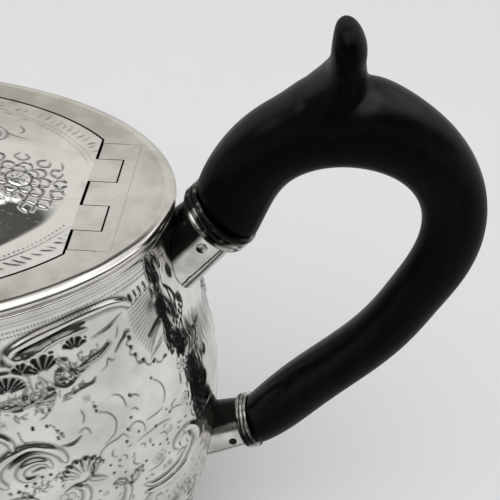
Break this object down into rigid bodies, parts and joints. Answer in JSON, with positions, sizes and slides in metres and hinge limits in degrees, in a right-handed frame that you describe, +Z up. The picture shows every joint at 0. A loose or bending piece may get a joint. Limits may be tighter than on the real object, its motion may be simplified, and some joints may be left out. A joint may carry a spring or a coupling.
{
  "type": "silver teapot",
  "caption": "Oval bombe silver teapot with a flush hinged lid, straight tapering spout, chased body and a bent dark wood handle with a thumb rest, held in two silver sockets.",
  "frame": {"origin": "centre of the oval foot, on the surface that the teapot stands on", "axes": "+X towards the handle, -X towards the spout, +Z up"},
  "size_m": [0.264, 0.1028, 0.1449],
  "materials": {
    "polished_silver": "polished",
    "chased_silver": "polished",
    "ebonised_wood": "satin"
  },
  "bodies": {
    "pot": {"body_shell": "chased_silver", "base_plate": "polished_silver", "foot_ring": "polished_silver", "rim_moulding": "polished_silver", "deck_plate": "polished_silver", "lid_ledge": "polished_silver", "deck_hinge_leaf": "polished_silver", "hinge_pin": "polished_silver", "spout": "polished_silver", "upper_socket": "polished_silver", "upper_collar": "polished_silver", "upper_handle_pin": "polished_silver", "lower_socket": "polished_silver", "lower_collar": "polished_silver", "lower_handle_pin": "polished_silver", "handle": "ebonised_wood"},
    "lid": {"lid_plate": "chased_silver", "lid_hinge_leaf": "polished_silver", "lid_bezel": "polished_silver", "finial_base": "polished_silver", "finial_knob": "ebonised_wood", "finial_stud": "polished_silver", "finial_nut": "polished_silver"}
  },
  "joints": [
    {"name": "lid_hinge", "type": "hinge", "parent": "pot", "child": "lid", "pos_m": [0.05525, 0, 0.10375], "axis": [0, 1, 0], "range_deg": [0, 100]}
  ]
}
